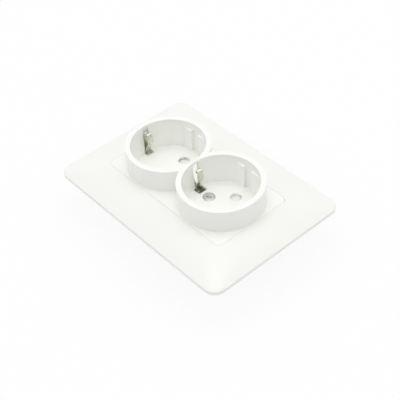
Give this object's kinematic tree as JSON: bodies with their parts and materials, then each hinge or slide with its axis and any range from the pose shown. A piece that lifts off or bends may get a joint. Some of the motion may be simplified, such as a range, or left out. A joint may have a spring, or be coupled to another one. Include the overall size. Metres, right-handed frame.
{
  "type": "double schuko socket",
  "caption": "Flush wall socket with round recessed outlets side by side in a low domed cover, with side earth clips and spring shutters over the pin holes.",
  "frame": {"origin": "the middle of the wall screw slots, in the wall plane, which is the rear of the support plate and of the cover frame", "axes": "+X along the long side through both round recesses, +Y across, +Z out of the wall"},
  "size_m": [0.123, 0.0864, 0.0417],
  "materials": {
    "frame_plastic": "glossy white moulding",
    "insert_plastic": "glossy white moulding",
    "shutter_plastic": "satin white moulding",
    "inner_plastic": "plain grey moulding",
    "base_plastic": "plain pale grey moulding",
    "contact_brass": "stamped brass",
    "terminal_brass": "sawn and drilled brass",
    "earth_brass": "nickel plated brass strip",
    "spring_steel": "bright spring steel",
    "screw_steel": "zinc plated steel",
    "plate_steel": "zinc plated sheet steel"
  },
  "bodies": {
    "housing": {"cover_frame": "frame_plastic", "cup_plate": "insert_plastic", "cover_screws": "screw_steel", "shutter_springs_1": "spring_steel", "shutter_springs_2": "spring_steel", "contact_cover": "inner_plastic", "socket_base": "base_plastic", "line_contact_bar": "contact_brass", "neutral_contact_bar": "contact_brass", "contact_spring_clips": "spring_steel", "earth_strap": "earth_brass", "centre_earth_clip": "earth_brass", "clip_rivet": "contact_brass", "line_terminal": "terminal_brass", "neutral_terminal": "terminal_brass", "earth_terminal": "terminal_brass", "terminal_screws": "screw_steel", "base_screws": "screw_steel", "support_plate": "plate_steel"},
    "shutter_1": {"shutter_1": "shutter_plastic"},
    "shutter_2": {"shutter_2": "shutter_plastic"}
  },
  "joints": [
    {"name": "shutter_1_slide", "type": "slide", "parent": "housing", "child": "shutter_1", "axis": [1, 0, 0], "range_m": [0, 0.0066], "stiffness_N_per_m": 60, "springref_m": -0.004, "deforming": ["shutter_springs_1"]},
    {"name": "shutter_2_slide", "type": "slide", "parent": "housing", "child": "shutter_2", "axis": [-1, 0, 0], "range_m": [0, 0.0066], "stiffness_N_per_m": 60, "springref_m": -0.004, "deforming": ["shutter_springs_2"]}
  ]
}
